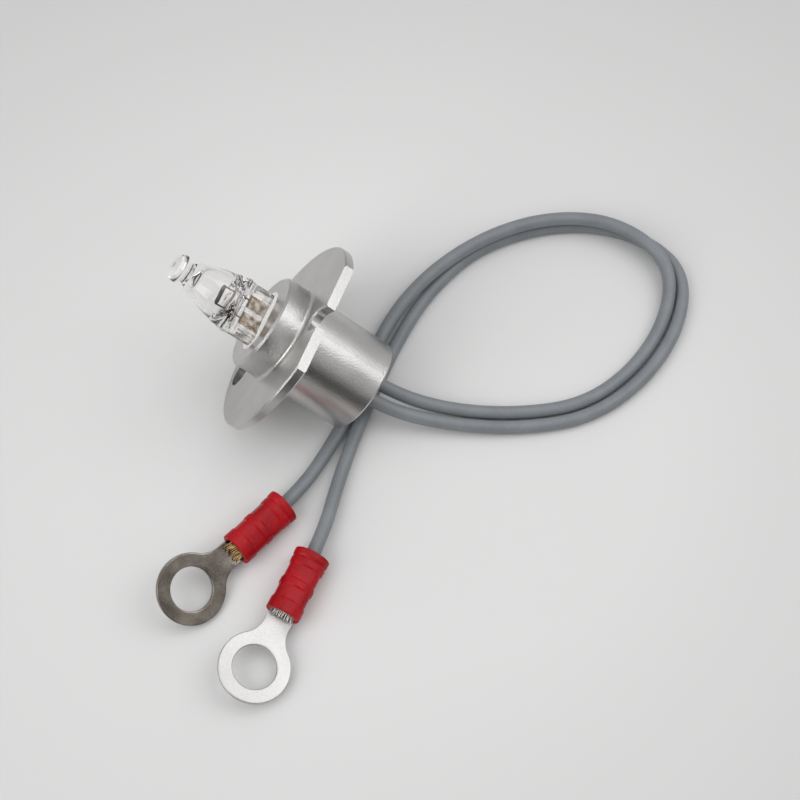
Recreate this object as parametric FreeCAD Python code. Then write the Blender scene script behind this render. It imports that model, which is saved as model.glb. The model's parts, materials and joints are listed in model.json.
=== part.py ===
"""Single-ended halogen capsule lamp in a turned and milled holder, with two ring-tagged leads.

Units are millimetres, +Z is up. The lamp lies on the table plane z = 0 on the lowest point
of its flange and the lowest point of its barrel, the flat of the flange facing up and the
bulb pointing toward -X. The pieces of the lamp are drawn in the lamp's own frame first:
z along its axis toward the bulb with 0 on the front face of the flange, x toward the flat
of the flange, y across.
"""
import FreeCAD, Part
import math
import os

V = FreeCAD.Vector

# Driving dimensions of the holder
flange_diameter = 30.4
flange_thickness = 1.5
flat_depth = 2.75
flange_edge_chamfer = 0.2
slot_width = 3.5
slot_boss_gap = 1.4
slot_edge_chamfer = 0.25
locating_hole_diameter = 4.3
locating_hole_edge_gap = 1.3
locating_hole_angle = 20.0
boss_diameter = 14.7
boss_height = 4.0
boss_edge_chamfer = 0.35
boss_root_fillet = 0.5
barrel_diameter = 14.5
barrel_length = 13.05
barrel_edge_chamfer = 0.3
barrel_wall = 1.55
barrel_bore_depth = 10.6
pocket_end_gap = 0.65
pocket_side_gap = 1.65

# Driving dimensions of the capsule bulb
bulb_diameter = 7.9
shoulder_height = 7.4
shoulder_length = 3.7
filament_above_shoulder = 3.6
tip_above_filament = 8.2
dome_thickness = 1.45
nib_diameter = 4.3
nib_height = 2.4
pinch_bottom_height = 0.9
pinch_width = 8.5
pinch_web_thickness = 1.9
pinch_bead_diameter = 2.6
pole_offset = 1.45
foil_width = 2.1
foil_length = 4.6
foil_thickness = 0.12
foil_bottom_height = 2.5
inner_lead_diameter = 0.25
filament_length = 2.85
filament_coil_diameter = 0.68
filament_wire_diameter = 0.2
filament_wire_sides = 8
filament_turns = 8
pin_diameter = 0.8
pin_splice_length = 1.3

# Driving dimensions of the splices, the potting and the leads
ferrule_clearance = 0.15
ferrule_diameter = 1.8
ferrule_length = 4.0
core_diameter = 1.0
core_bared_length = 0.8
lead_diameter = 2.05
potting_clearance = 0.3
potting_recess = 0.5

# Driving dimensions of the ring terminals and their sleeves
ring_outer_diameter = 10.4
ring_hole_diameter = 6.4
tongue_thickness = 0.75
tongue_neck_width = 3.8
tongue_neck_length = 1.05
tongue_blend_radius = 4.0
crimp_barrel_start = 4.0
crimp_barrel_width = 3.8
crimp_barrel_height = 2.6
crimp_barrel_show = 0.3
strand_length = 0.7
sleeve_length = 10.0
sleeve_wall = 0.6
sleeve_mouth_wall = 0.8
sleeve_clearance = 0.15
table_clearance = 0.012

# Sizes and heights that follow from the driving dimensions
pocket_length = pinch_width + 2 * pocket_end_gap
pocket_width = pinch_bead_diameter + 2 * pocket_side_gap
barrel_bore_diameter = barrel_diameter - 2 * barrel_wall
flat_distance = flange_diameter / 2 - flat_depth
slot_bottom_distance = boss_diameter / 2 + slot_boss_gap
locating_hole_distance = (flange_diameter - locating_hole_diameter) / 2 - locating_hole_edge_gap
rear_height = -(flange_thickness + barrel_length)
pocket_bottom_height = rear_height + barrel_bore_depth
shoulder_end_height = shoulder_height + shoulder_length
filament_height = shoulder_height + filament_above_shoulder
bulb_tip_height = filament_height + tip_above_filament
dome_top_height = bulb_tip_height - nib_height
inner_lead_offset = (filament_length + inner_lead_diameter) / 2
ferrule_top_height = pocket_bottom_height - ferrule_clearance
pin_bottom_height = ferrule_top_height - pin_splice_length
potting_top_height = ferrule_top_height - ferrule_length - potting_clearance
lead_start_height = potting_top_height - core_bared_length
crimp_barrel_end = sleeve_length + crimp_barrel_show
strand_end = crimp_barrel_end + strand_length
sleeve_mouth_width = crimp_barrel_width + 2 * sleeve_mouth_wall
sleeve_mouth_height = crimp_barrel_height + 2 * sleeve_mouth_wall

# The angle at which flange edge and barrel edge both touch the table
flange_contact = flange_thickness - flange_edge_chamfer
barrel_contact = flange_thickness + barrel_length - barrel_edge_chamfer
tilt = math.degrees(
    math.atan2((flange_diameter - barrel_diameter) / 2, barrel_contact - flange_contact)
)
flange_front_height = flange_diameter / 2 * math.cos(math.radians(tilt)) + (
    flange_contact * math.sin(math.radians(tilt))
)


def along(start, end, share):
    """Height at a share of the way between two heights."""
    return start + share * (end - start)


def cylinder(diameter, bottom, top, x=0.0, y=0.0):
    """Upright cylinder between two heights."""
    return Part.makeCylinder(diameter / 2, top - bottom, V(x, y, bottom))


def block(x_size, y_size, bottom, top, x=0.0, y=0.0):
    """Upright block centred on x, y."""
    return Part.makeBox(x_size, y_size, top - bottom, V(x - x_size / 2, y - y_size / 2, bottom))


def obround(x_size, y_size, bottom, top):
    """Upright block with half-round ends along y."""
    straight = y_size - x_size
    shape = block(x_size, straight, bottom, top)
    for side in (-1, 1):
        shape = shape.fuse(cylinder(x_size, bottom, top, 0, side * straight / 2))
    return shape.removeSplitter()


def turned(profile):
    """Solid of revolution about z from (radius, height) corners."""
    corners = [V(radius, 0, height) for radius, height in profile]
    face = Part.Face(Part.makePolygon(corners + [corners[0]]))
    return face.revolve(V(0, 0, 0), V(0, 0, 1), 360)


def turned_smooth(profile, bottom_radius):
    """Solid of revolution whose side is a spline that closes square to the axis at the top."""
    points = [V(radius, 0, height) for radius, height in profile]
    side = Part.BSplineCurve()
    side.interpolate(Points=points, InitialTangent=V(0, 0, 1), FinalTangent=V(-1, 0, 0))
    axis_top = points[-1]
    axis_bottom = V(0, 0, points[0].z)
    edges = [
        side.toShape(),
        Part.makeLine(axis_top, axis_bottom),
        Part.makeLine(axis_bottom, V(bottom_radius, 0, points[0].z)),
    ]
    face = Part.Face(Part.Wire(Part.__sortEdges__(edges)))
    return face.revolve(V(0, 0, 0), V(0, 0, 1), 360)


def make_holder():
    """Boss, flange and barrel in one piece, with the flat, slot, hole, pocket and bore."""
    flange_radius = flange_diameter / 2
    boss_radius = boss_diameter / 2
    barrel_radius = barrel_diameter / 2
    body = turned([
        (0, boss_height),
        (boss_radius - boss_edge_chamfer, boss_height),
        (boss_radius, boss_height - boss_edge_chamfer),
        (boss_radius, 0),
        (flange_radius - flange_edge_chamfer, 0),
        (flange_radius, -flange_edge_chamfer),
        (flange_radius, -flange_thickness + flange_edge_chamfer),
        (flange_radius - flange_edge_chamfer, -flange_thickness),
        (barrel_radius, -flange_thickness),
        (barrel_radius, rear_height + barrel_edge_chamfer),
        (barrel_radius - barrel_edge_chamfer, rear_height),
        (0, rear_height),
    ])
    root = [
        edge for edge in body.Edges
        if abs(edge.BoundBox.ZMin) < 1e-6 and abs(edge.BoundBox.ZMax) < 1e-6
        and abs(edge.BoundBox.XMax - boss_radius) < 1e-3
    ]
    body = body.makeFillet(boss_root_fillet, root)
    flange_band = 2 * flange_diameter
    body = body.cut(
        block(flange_band, flange_band, -flange_thickness - 0.001, 0.001, flat_distance + flange_band / 2)
    )
    slot_radius = slot_width / 2
    slot_centre = slot_bottom_distance + slot_radius
    slot = cylinder(slot_width, -flange_thickness - 1, 1, slot_centre).fuse(
        block(slot_width * 2, slot_width, -flange_thickness - 1, 1, slot_centre + slot_width)
    )
    body = body.cut(slot)
    lead_in = slot_width + 2 * slot_edge_chamfer
    relief = Part.makeCone(
        slot_radius, lead_in / 2, slot_edge_chamfer, V(slot_centre, 0, -slot_edge_chamfer)
    )
    for side in (-1, 1):
        ramp = Part.Face(Part.makePolygon([
            V(slot_centre, side * slot_radius, -slot_edge_chamfer),
            V(slot_centre, side * lead_in / 2, 0),
            V(slot_centre, side * slot_radius / 2, 0),
            V(slot_centre, side * slot_radius / 2, -slot_edge_chamfer),
            V(slot_centre, side * slot_radius, -slot_edge_chamfer),
        ])).extrude(V(slot_width * 2, 0, 0))
        relief = relief.fuse(ramp)
    body = body.cut(relief)
    hole_angle = math.radians(180 + locating_hole_angle)
    hole_x = locating_hole_distance * math.cos(hole_angle)
    hole_y = locating_hole_distance * math.sin(hole_angle)
    body = body.cut(cylinder(locating_hole_diameter, -flange_thickness - 1, 1, hole_x, hole_y))
    body = body.cut(cylinder(barrel_bore_diameter, rear_height - 1, pocket_bottom_height))
    body = body.cut(obround(pocket_width, pocket_length, pocket_bottom_height, boss_height + 1))
    return body.removeSplitter()


def make_bulb():
    """Quartz envelope: domed bulb with its nib, flared shoulder and beaded pinch, hollow inside."""
    bulb_radius = bulb_diameter / 2
    nib_radius = nib_diameter / 2
    tip = bulb_tip_height
    pinch_radius = pinch_width / 2
    shoulder_root = along(shoulder_height, shoulder_end_height, -0.16)
    dome_start = along(shoulder_height, shoulder_end_height, 0.73)
    outer = turned_smooth([
        (pinch_radius, shoulder_root),
        (1.02 * pinch_radius, along(shoulder_height, shoulder_end_height, 0.22)),
        (0.97 * pinch_radius, along(shoulder_height, shoulder_end_height, 0.46)),
        (bulb_radius, dome_start),
        (0.93 * bulb_radius, along(dome_start, dome_top_height, 0.164)),
        (0.83 * bulb_radius, along(dome_start, dome_top_height, 0.403)),
        (0.7 * bulb_radius, along(dome_start, dome_top_height, 0.657)),
        (0.57 * bulb_radius, along(dome_start, dome_top_height, 0.851)),
        (0.44 * bulb_radius, along(dome_start, dome_top_height, 0.948)),
        (0.4 * bulb_radius, dome_top_height),
        (0.75 * nib_radius, along(tip, dome_top_height, 0.854)),
        (0.96 * nib_radius, along(tip, dome_top_height, 0.667)),
        (nib_radius, along(tip, dome_top_height, 0.479)),
        (0.88 * nib_radius, along(tip, dome_top_height, 0.229)),
        (0.5 * nib_radius, along(tip, dome_top_height, 0.05)),
        (0, tip),
    ], pinch_radius)
    root = cylinder(pinch_width, pinch_bottom_height, shoulder_root)
    web_half = pinch_web_thickness / 2
    flares = []
    for side in (-1, 1):
        points = []
        for outward, upward in ((0, 0), (0.16, 0.22), (0.55, 0.46), (0.88, 0.7), (1, 1)):
            height = along(shoulder_height, shoulder_end_height, upward)
            points.append(V(side * along(web_half, bulb_radius, outward), 0, height))
        wall = Part.BSplineCurve()
        wall.interpolate(Points=points, InitialTangent=V(0, 0, 1), FinalTangent=V(0, 0, 1))
        flares.append(wall.toShape())
    far = pinch_width + bulb_diameter
    corners = [
        V(web_half, 0, shoulder_height),
        V(web_half, 0, pinch_bottom_height),
        V(-web_half, 0, pinch_bottom_height),
        V(-web_half, 0, shoulder_height),
    ]
    outer_corners = [
        V(bulb_radius, 0, shoulder_end_height),
        V(far, 0, shoulder_end_height),
        V(far, 0, tip + 1),
        V(-far, 0, tip + 1),
        V(-far, 0, shoulder_end_height),
        V(-bulb_radius, 0, shoulder_end_height),
    ]
    edges = flares + Part.makePolygon(corners).Edges + Part.makePolygon(outer_corners).Edges
    press = Part.Face(Part.Wire(Part.__sortEdges__(edges))).extrude(V(0, 2 * far, 0))
    press.translate(V(0, -far, 0))
    glass = outer.fuse(root).common(press)
    bead_centre = (pinch_width - pinch_bead_diameter) / 2
    cavity_bottom = along(shoulder_height, shoulder_end_height, 0.32)
    cavity_top = dome_top_height - dome_thickness
    for side in (-1, 1):
        glass = glass.fuse(
            cylinder(pinch_bead_diameter, pinch_bottom_height, cavity_bottom, 0, side * bead_centre)
        )
    cavity = turned_smooth([
        (0.35 * bulb_radius, cavity_bottom),
        (0.62 * bulb_radius, along(cavity_bottom, cavity_top, 0.12)),
        (0.76 * bulb_radius, along(cavity_bottom, cavity_top, 0.25)),
        (0.68 * bulb_radius, along(cavity_bottom, cavity_top, 0.55)),
        (0.52 * bulb_radius, along(cavity_bottom, cavity_top, 0.8)),
        (0.3 * bulb_radius, along(cavity_bottom, cavity_top, 0.95)),
        (0, cavity_top),
    ], 0.35 * bulb_radius)
    glass = glass.cut(cavity)
    for side in (-1, 1):
        y = side * pole_offset
        glass = glass.cut(make_foil(side))
        glass = glass.cut(make_inner_lead(side))
        glass = glass.cut(cylinder(pin_diameter, pinch_bottom_height - 1, foil_bottom_height, 0, y))
    return glass.removeSplitter()


def make_foil(side):
    """Thin sealing foil in the pinch."""
    top = foil_bottom_height + foil_length
    return block(foil_thickness, foil_width, foil_bottom_height, top, 0, side * pole_offset)


def make_filament():
    """Coiled filament lying across the axis; its fine wire has flat sides instead of a round."""
    pitch = (filament_length - filament_wire_diameter) / filament_turns
    coil_radius = filament_coil_diameter / 2
    wire_radius = filament_wire_diameter / 2
    helix = Part.makeHelix(pitch, pitch * filament_turns, coil_radius)
    corners = []
    for side in range(filament_wire_sides):
        angle = 2 * math.pi * side / filament_wire_sides
        corners.append(V(coil_radius + wire_radius * math.cos(angle), 0, wire_radius * math.sin(angle)))
    section = Part.makePolygon(corners + [corners[0]])
    coil = Part.Wire(helix.Edges).makePipeShell([section], True, True)
    coil.translate(V(0, 0, -pitch * filament_turns / 2))
    coil.rotate(V(0, 0, 0), V(1, 0, 0), -90)
    coil.translate(V(0, 0, filament_height))
    return coil


def make_inner_lead(side):
    """Support wire from the foil up beside one end of the coil."""
    return cylinder(
        inner_lead_diameter,
        foil_bottom_height + foil_length,
        filament_height + filament_wire_diameter,
        0,
        side * inner_lead_offset,
    )


def make_pin(side):
    """Outer contact pin of the pinch."""
    return cylinder(pin_diameter, pin_bottom_height, foil_bottom_height, 0, side * pole_offset)


def make_cement(bulb):
    """Cement that fills the pocket around the pinch."""
    bottom = pocket_bottom_height
    cement = obround(pocket_width, pocket_length, bottom, boss_height)
    cement = cement.cut(bulb)
    for side in (-1, 1):
        pin = cylinder(pin_diameter, bottom - 1, pinch_bottom_height + 1, 0, side * pole_offset)
        cement = cement.cut(pin)
    return max(cement.Solids, key=lambda solid: solid.Volume)


def make_ferrule(side):
    """Splice ferrule that joins a contact pin to a lead core."""
    bottom = ferrule_top_height - ferrule_length
    y = side * pole_offset
    ferrule = cylinder(ferrule_diameter, bottom, ferrule_top_height, 0, y)
    ferrule = ferrule.cut(cylinder(pin_diameter, pin_bottom_height, ferrule_top_height + 1, 0, y))
    return ferrule.cut(cylinder(core_diameter, bottom - 1, pin_bottom_height, 0, y))


def make_core(side):
    """Lead core between the splice and the end of its insulation."""
    return cylinder(core_diameter, lead_start_height, pin_bottom_height, 0, side * pole_offset)


def make_potting():
    """Potting that closes the rear of the barrel around both leads."""
    bottom = rear_height + potting_recess
    potting = cylinder(barrel_bore_diameter, bottom, potting_top_height)
    for side in (-1, 1):
        y = side * pole_offset
        potting = potting.cut(cylinder(lead_diameter, bottom - 1, lead_start_height, 0, y))
        potting = potting.cut(cylinder(core_diameter, lead_start_height - 1, potting_top_height + 1, 0, y))
    return potting


def to_table(shape):
    """Lay a piece of the lamp down on its flange edge and barrel edge."""
    shape.rotate(V(0, 0, 0), V(0, 1, 0), tilt - 90)
    shape.translate(V(0, 0, flange_front_height))
    return shape


def table_point(height, y):
    """Where a point on the line x = 0, y of the lamp lies once the lamp is laid down."""
    angle = math.radians(tilt)
    return V(-height * math.cos(angle), y, flange_front_height + height * math.sin(angle))


class TerminalSeat:
    """Place of one terminal: mouth of its sleeve on the table, heading, pitch and roll."""

    def __init__(self, x, y, heading, pitch, roll):
        angle = math.radians(roll)
        half_width = sleeve_mouth_width / 2 * math.sin(angle)
        half_height = sleeve_mouth_height / 2 * math.cos(angle)
        self.origin = V(x, y, math.hypot(half_width, half_height) + table_clearance)
        self.turn = FreeCAD.Rotation(heading, -pitch, roll)

    def point(self, distance):
        """Point on the terminal's axis at a distance from the rear of the sleeve."""
        return self.origin + self.turn.multVec(V(distance, 0, 0))

    def seat(self, shape):
        """Move a piece drawn along +x onto the table."""
        shape.Placement = FreeCAD.Placement(self.origin, self.turn).multiply(shape.Placement)
        return shape


seats = {
    "a": TerminalSeat(8.34, -20.37, -110.5, 5.5, -32.5),
    "b": TerminalSeat(15.25, -25.99, -92.3, 4.0, -15.0),
}


def ellipse_wire(width, height, x, z=0.0):
    """Elliptical section square to the x axis."""
    curve = Part.Ellipse(V(0, 0, 0), width / 2, height / 2)
    wire = Part.Wire(curve.toShape())
    wire.rotate(V(0, 0, 0), V(1, 0, 0), 90)
    wire.rotate(V(0, 0, 0), V(0, 0, 1), 90)
    wire.translate(V(x, 0, z))
    return wire


def ellipse_bar(width, height, start, end):
    """Elliptical bar along x."""
    return Part.Face(ellipse_wire(width, height, start)).extrude(V(end - start, 0, 0))


def bar(diameter, start, end):
    """Round bar along x."""
    return Part.makeCylinder(diameter / 2, end - start, V(start, 0, 0), V(1, 0, 0))


def make_terminal(seat):
    """Ring terminal: crimp barrel, neck and ring in one piece."""
    barrel = ellipse_bar(crimp_barrel_width, crimp_barrel_height, crimp_barrel_start, crimp_barrel_end)
    barrel = barrel.cut(bar(core_diameter, crimp_barrel_start - 1, crimp_barrel_end + 1))
    ring_radius = ring_outer_diameter / 2
    neck_half = tongue_neck_width / 2
    reach = ring_radius + tongue_blend_radius
    rise = neck_half + tongue_blend_radius
    run = math.sqrt(reach ** 2 - rise ** 2)
    blend_x = crimp_barrel_end + tongue_neck_length
    ring_centre_distance = blend_x + run
    touch_x = ring_centre_distance - run * ring_radius / reach
    touch_y = rise * ring_radius / reach
    half_way = math.radians(270) + (math.radians(90) - math.asin(rise / reach)) / 2
    arc_x = blend_x + tongue_blend_radius * math.cos(half_way)
    arc_y = rise + tongue_blend_radius * math.sin(half_way)
    start_x = crimp_barrel_end - 1.0
    edges = [
        Part.makeLine(V(start_x, -neck_half, 0), V(blend_x, -neck_half, 0)),
        Part.Arc(V(blend_x, -neck_half, 0), V(arc_x, -arc_y, 0), V(touch_x, -touch_y, 0)).toShape(),
        Part.Arc(
            V(touch_x, -touch_y, 0), V(ring_centre_distance + ring_radius, 0, 0), V(touch_x, touch_y, 0)
        ).toShape(),
        Part.Arc(V(touch_x, touch_y, 0), V(arc_x, arc_y, 0), V(blend_x, neck_half, 0)).toShape(),
        Part.makeLine(V(blend_x, neck_half, 0), V(start_x, neck_half, 0)),
        Part.makeLine(V(start_x, neck_half, 0), V(start_x, -neck_half, 0)),
    ]
    tongue = Part.Face(Part.Wire(edges)).extrude(V(0, 0, tongue_thickness))
    tongue = tongue.cut(Part.makeCylinder(ring_hole_diameter / 2, 2, V(ring_centre_distance, 0, -1)))
    tongue.translate(V(0, 0, -crimp_barrel_height / 2))
    inside = ellipse_bar(crimp_barrel_width, crimp_barrel_height, start_x - 1, crimp_barrel_end)
    tongue = tongue.cut(bar(core_diameter, start_x - 1, strand_end))
    held = tongue.common(inside)
    free = tongue.cut(Part.makeBox(5, 10, 10, V(crimp_barrel_end - 5, -5, -5)))
    return seat.seat(barrel.fuse(free).fuse(held).removeSplitter())


def make_sleeve(seat):
    """Soft sleeve over the crimp barrel, squeezed in two places."""
    wires = [ellipse_wire(sleeve_mouth_width, sleeve_mouth_height, 0)]
    walls = [
        (0.16, 1.33, 1.25), (0.3, 1.0, 0.75), (0.42, 0.92, 0.67), (0.52, 1.17, 1.0),
        (0.62, 0.92, 0.67), (0.74, 0.83, 0.75), (0.86, 1.0, 1.0), (1.0, 1.0, 1.08),
    ]
    for share, side_walls, face_walls in walls:
        width = crimp_barrel_width + 2 * side_walls * sleeve_wall
        height = crimp_barrel_height + 2 * face_walls * sleeve_wall
        wires.append(ellipse_wire(width, height, share * sleeve_length))
    sleeve = Part.makeLoft(wires, True, False)
    sleeve = sleeve.cut(bar(lead_diameter + 2 * sleeve_clearance, -1, crimp_barrel_start))
    sleeve = sleeve.cut(
        ellipse_bar(crimp_barrel_width, crimp_barrel_height, crimp_barrel_start, sleeve_length + 1)
    )
    return seat.seat(sleeve)


def make_strands(seat):
    """Bared core that shows beyond the crimp barrel."""
    return seat.seat(bar(core_diameter, crimp_barrel_start, strand_end))


def lead_route(side):
    """Corner points of one lead, from its core in the potting to its crimp barrel."""
    if side > 0:
        seat = seats["a"]
        loop = [
            V(25.0, 3.05, 1.7), V(35.0, 6.7, 1.05), V(43.6, 12.0, 1.05), V(48.5, 20.5, 1.05),
            V(50.2, 30.0, 1.2), V(48.3, 38.0, 2.35), V(42.3, 41.4, 3.2), V(34.5, 41.9, 3.2),
            V(26.0, 38.2, 3.2), V(18.8, 31.3, 3.2), V(13.6, 22.5, 3.0), V(10.9, 13.6, 1.85),
            V(10.95, 5.0, 1.04), V(11.15, -3.2, 1.04), V(10.6, -10.3, 1.2),
        ]
    else:
        seat = seats["b"]
        loop = [
            V(25.6, 0.75, 1.7), V(36.2, 4.6, 1.05), V(45.2, 10.3, 1.05), V(50.7, 19.7, 1.05),
            V(52.5, 30.2, 1.05), V(50.2, 38.9, 1.05), V(43.2, 42.3, 1.05), V(34.6, 41.9, 1.05),
            V(26.0, 37.9, 1.05), V(18.6, 30.7, 1.05), V(14.7, 21.5, 1.05), V(13.4, 12.5, 1.05),
            V(13.2, 3.5, 1.04), V(13.35, -5.0, 1.04), V(13.9, -13.0, 1.1),
        ]
    start = table_point(lead_start_height, side * pole_offset)
    bend = table_point(rear_height - 3.8, side * pole_offset)
    return [start, bend] + loop + [seat.point(-3.2), seat.point(crimp_barrel_start)]


def swept_lead(points, name):
    """Plain tube along straight runs joined by tangent arcs; prints its length and radii."""
    edges = []
    radii = []
    last = points[0]
    for before, corner, after in zip(points, points[1:], points[2:]):
        into = corner - before
        out = after - corner
        half_turn = into.getAngle(out) / 2
        tangent = 0.45 * min(into.Length, out.Length)
        radius = tangent / math.tan(half_turn)
        radii.append(radius)
        into.normalize()
        out.normalize()
        arc_start = corner - into * tangent
        arc_end = corner + out * tangent
        centre_way = out - into
        centre_way.normalize()
        middle = corner + centre_way * (radius / math.cos(half_turn) - radius)
        edges.append(Part.LineSegment(last, arc_start).toShape())
        edges.append(Part.Arc(arc_start, middle, arc_end).toShape())
        last = arc_end
    edges.append(Part.LineSegment(last, points[-1]).toShape())
    spine = Part.Wire(edges)
    heading = points[1] - points[0]
    section = Part.Wire(Part.Circle(points[0], heading, lead_diameter / 2).toShape())
    tube = spine.makePipeShell([section], True, False)
    swept = math.pi * lead_diameter ** 2 / 4 * spine.Length
    print(f"{name}: length {spine.Length:.1f}, smallest radii {sorted(round(r, 1) for r in radii)[:4]}")
    print(f"{name}: volume {tube.Volume:.1f} against {swept:.1f}, lowest {tube.BoundBox.ZMin:.2f}")
    return tube


def build():
    """Build every piece, set the middle of the lamp over the origin and export it."""
    bulb = make_bulb()
    lamp = {"holder": make_holder(), "bulb_envelope": bulb, "filament": make_filament()}
    lamp["seating_cement"] = make_cement(bulb)
    lamp["rear_potting"] = make_potting()
    tags = {}
    for name, side in (("a", 1), ("b", -1)):
        lamp["inner_lead_" + name] = make_inner_lead(side)
        lamp["foil_" + name] = make_foil(side)
        lamp["contact_pin_" + name] = make_pin(side)
        lamp["splice_ferrule_" + name] = make_ferrule(side)
        lamp["lead_core_" + name] = make_core(side)
        route = lead_route(side)
        tags["lead_" + name] = swept_lead(route, "lead_" + name)
        tags["ring_terminal_" + name] = make_terminal(seats[name])
        tags["terminal_sleeve_" + name] = make_sleeve(seats[name])
        tags["strand_end_" + name] = make_strands(seats[name])
    for shape in lamp.values():
        to_table(shape)
    boxes = [shape.optimalBoundingBox() for shape in lamp.values()]
    middle = (min(box.XMin for box in boxes) + max(box.XMax for box in boxes)) / 2
    print(f"tilt {tilt:.2f}, flange front at height {flange_front_height:.3f}, moved by {-middle:.3f}")
    os.makedirs("parts", exist_ok=True)
    for name, shape in {**lamp, **tags}.items():
        shape = shape.Solids[0]
        shape.translate(V(-middle, 0, 0))
        shape.exportStep("parts/" + name + ".step")
        box = shape.optimalBoundingBox()
        print(
            f"{name}: {shape.ShapeType} valid {shape.isValid()} solids {len(shape.Solids)}"
            f" volume {shape.Volume:.2f} x {box.XMin:.2f}..{box.XMax:.2f}"
            f" y {box.YMin:.2f}..{box.YMax:.2f} z {box.ZMin:.2f}..{box.ZMax:.2f}"
        )


build()
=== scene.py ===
"""Looks of a halogen capsule lamp in a turned holder with two ring-tagged leads.

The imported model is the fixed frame. This script dresses its nodes, replaces the quartz bulb,
the coil, the leads and the pieces at their ends with finer meshes, and sets camera and light.
Sizes are written in millimetres and scaled to metres by MM, except where a class says metres.
"""
import json
import logging
import math
import random
from dataclasses import dataclass
from enum import Enum
from typing import Any, ClassVar, Sequence

import bmesh
import bpy
from mathutils import Euler, Matrix, Vector

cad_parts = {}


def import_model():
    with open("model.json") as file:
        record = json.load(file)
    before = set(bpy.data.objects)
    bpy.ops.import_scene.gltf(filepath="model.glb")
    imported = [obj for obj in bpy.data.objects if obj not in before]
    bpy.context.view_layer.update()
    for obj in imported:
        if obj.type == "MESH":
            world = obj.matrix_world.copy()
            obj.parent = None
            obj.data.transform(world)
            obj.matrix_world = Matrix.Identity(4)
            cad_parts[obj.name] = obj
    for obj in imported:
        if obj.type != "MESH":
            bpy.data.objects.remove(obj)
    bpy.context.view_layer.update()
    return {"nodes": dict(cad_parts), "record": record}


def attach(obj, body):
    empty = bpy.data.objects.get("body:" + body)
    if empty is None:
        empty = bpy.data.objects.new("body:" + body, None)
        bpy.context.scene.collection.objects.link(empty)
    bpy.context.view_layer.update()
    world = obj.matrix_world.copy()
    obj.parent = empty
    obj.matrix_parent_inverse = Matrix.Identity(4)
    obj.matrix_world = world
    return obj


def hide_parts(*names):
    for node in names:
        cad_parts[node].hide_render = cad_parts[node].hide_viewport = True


MM = 0.001
LAMP_TILT = math.radians(-58.45)
OVAL_POWER = 2.0
CURVE_STEPS = 16
Colour = tuple[float, float, float, float]
Triple = tuple[float, float, float]
Pair = tuple[float, float]
Line = tuple[Pair, ...]
log = logging.getLogger("lamp")


def rgb(red: float, green: float, blue: float) -> Colour:
    """Opaque colour from three linear shares."""
    return (red, green, blue, 1.0)


def smoothstep(share: float) -> float:
    """Ease from 0 to 1 with level ends, held at both ends."""
    held = min(1.0, max(0.0, share))
    return held * held * (3.0 - 2.0 * held)


def along(start: float, end: float, share: float) -> float:
    """Value at a share of the way between two values."""
    return start + share * (end - start)


def smooth_path(points: Sequence[Pair], steps: int) -> list[Pair]:
    """Run a Catmull-Rom curve through points in a plane.

    Args:
        points: Points that the curve goes through.
        steps: Samples for each span between two points.

    Returns:
        The samples, with both end points.
    """
    padded = [Vector(points[0]), *(Vector(point) for point in points), Vector(points[-1])]
    samples = []
    for before, start, end, after in zip(padded, padded[1:], padded[2:], padded[3:]):
        for step in range(steps):
            t = step / steps
            sample = 0.5 * (
                2 * start
                + (end - before) * t
                + (2 * before - 5 * start + 4 * end - after) * t ** 2
                + (3 * start - before - 3 * end + after) * t ** 3
            )
            samples.append((sample.x, sample.y))
    samples.append(tuple(points[-1]))
    return samples


class Value:
    """A number that varies over a surface, written in Python and worked out by Math nodes."""

    def __init__(self, graph: "Graph", socket: bpy.types.NodeSocket) -> None:
        """Wrap a socket of a graph."""
        self.graph = graph
        self.socket = socket

    def _math(self, operation: str, first: Any, second: Any) -> "Value":
        """Add one Math node on two numbers or values."""
        node = self.graph.node("ShaderNodeMath", {"operation": operation}, {0: first, 1: second})
        return Value(self.graph, node.outputs[0])

    def __add__(self, other: Any) -> "Value":
        """Sum."""
        return self._math("ADD", self, other)

    __radd__ = __add__

    def __sub__(self, other: Any) -> "Value":
        """Difference."""
        return self._math("SUBTRACT", self, other)

    def __rsub__(self, other: Any) -> "Value":
        """Difference from a number."""
        return self._math("SUBTRACT", other, self)

    def __mul__(self, other: Any) -> "Value":
        """Product."""
        return self._math("MULTIPLY", self, other)

    __rmul__ = __mul__


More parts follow.
